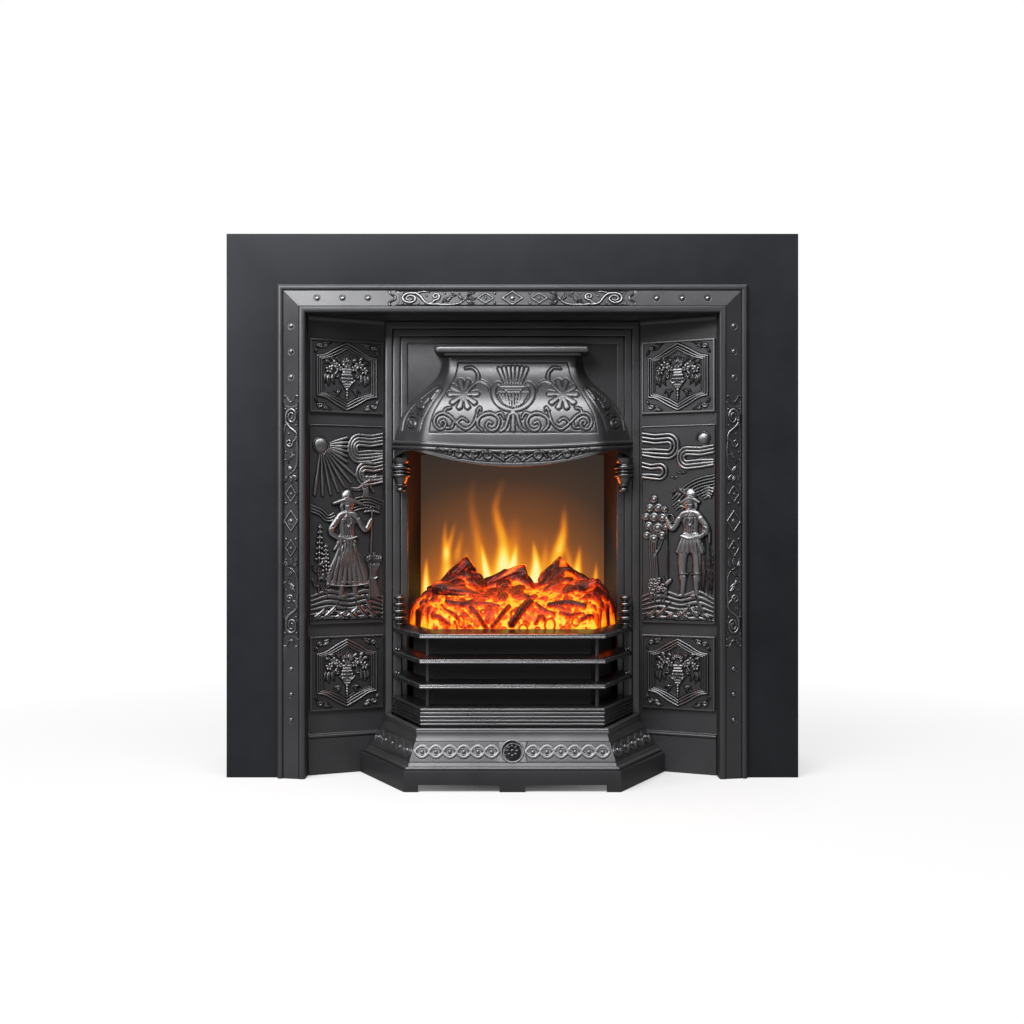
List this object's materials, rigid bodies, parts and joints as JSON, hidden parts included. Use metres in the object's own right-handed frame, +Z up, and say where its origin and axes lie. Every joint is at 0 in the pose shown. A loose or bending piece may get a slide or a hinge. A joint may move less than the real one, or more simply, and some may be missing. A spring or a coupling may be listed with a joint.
{
  "type": "cast iron fireplace",
  "caption": "Cast iron fireplace with moulded surround, splayed tiled sides, bell canopy, barred basket over a plinth, and an electric log fire behind.",
  "frame": {"origin": "middle of the bounding box's footprint, on the floor", "axes": "+Z up, +X to the viewer's right, +Y towards the chimney; the front faces -Y"},
  "size_m": [1.016, 0.392, 0.966],
  "materials": {
    "iron": "charcoal, satin, lightly grained",
    "relief": "charcoal, burnished on the raised ornament",
    "steel": "matt black sheet",
    "bright": "bright steel",
    "ember": "moulded glowing coals",
    "log": "charred log",
    "screen": "smoked diffusing sheet",
    "board": "white board",
    "plastic": "black"
  },
  "bodies": {
    "surround": {"front_casting": "iron", "soffit_plate": "iron", "inner_frame": "iron", "grate_shelf": "iron", "left_side_panel": "iron", "left_lower_lug": "iron", "left_upper_lug": "iron", "left_lower_tile": "relief", "left_picture_tile": "relief", "left_upper_tile": "relief", "left_corbel": "relief", "left_cheek": "steel", "right_side_panel": "iron", "right_lower_lug": "iron", "right_upper_lug": "iron", "right_lower_tile": "relief", "right_picture_tile": "relief", "right_upper_tile": "relief", "right_corbel": "relief", "right_cheek": "steel", "hood": "relief", "hood_ledge": "relief", "fuel_bed_case": "steel", "fire_housing": "steel", "back_cover": "steel", "top_baffle": "steel", "fan_housing": "steel", "outlet_grille": "steel", "cover_screw_1": "bright", "cover_screw_2": "bright", "flame_mask": "bright", "heater_element": "bright", "fuel_bed": "ember", "front_left_log": "log", "back_left_log": "log", "back_middle_log": "log", "back_right_log": "log", "front_right_log": "log", "flame_screen": "screen", "light_board": "board", "spindle_motor": "plastic", "spindle_bearing": "plastic", "fan_motor": "plastic", "cable_gland": "plastic"},
    "basket_front": {"lower_bar": "iron", "middle_bar": "iron", "top_bar": "iron", "left_bar_rod": "iron", "left_end_post": "iron", "left_finial": "relief", "right_bar_rod": "iron", "right_end_post": "iron", "right_finial": "relief"},
    "plinth": {"ashpan_cover": "iron"},
    "air_control": {"vent_knob": "plastic", "vent_spindle": "bright", "vent_shutter": "steel"},
    "flame_rotor": {"flame_spindle": "bright"},
    "fan_rotor": {"fan_wheel": "bright"}
  },
  "joints": [
    {"name": "basket_lift", "type": "slide", "parent": "surround", "child": "basket_front", "axis": [0, 0, 1], "range_m": [0, 0.04]},
    {"name": "plinth_draw", "type": "slide", "parent": "surround", "child": "plinth", "axis": [0, -1, 0], "range_m": [0, 0.15]},
    {"name": "air_control_turn", "type": "hinge", "parent": "plinth", "child": "air_control", "pos_m": [0, -0.18107, 0.066], "axis": [0, -0.9356, 0.353], "range_deg": [0, 90]},
    {"name": "flame_spin", "type": "hinge", "parent": "surround", "child": "flame_rotor", "pos_m": [0, 0.161, 0.29], "axis": [1, 0, 0], "continuous": true},
    {"name": "fan_spin", "type": "hinge", "parent": "surround", "child": "fan_rotor", "pos_m": [0, 0.075, 0.62], "axis": [1, 0, 0], "continuous": true}
  ]
}
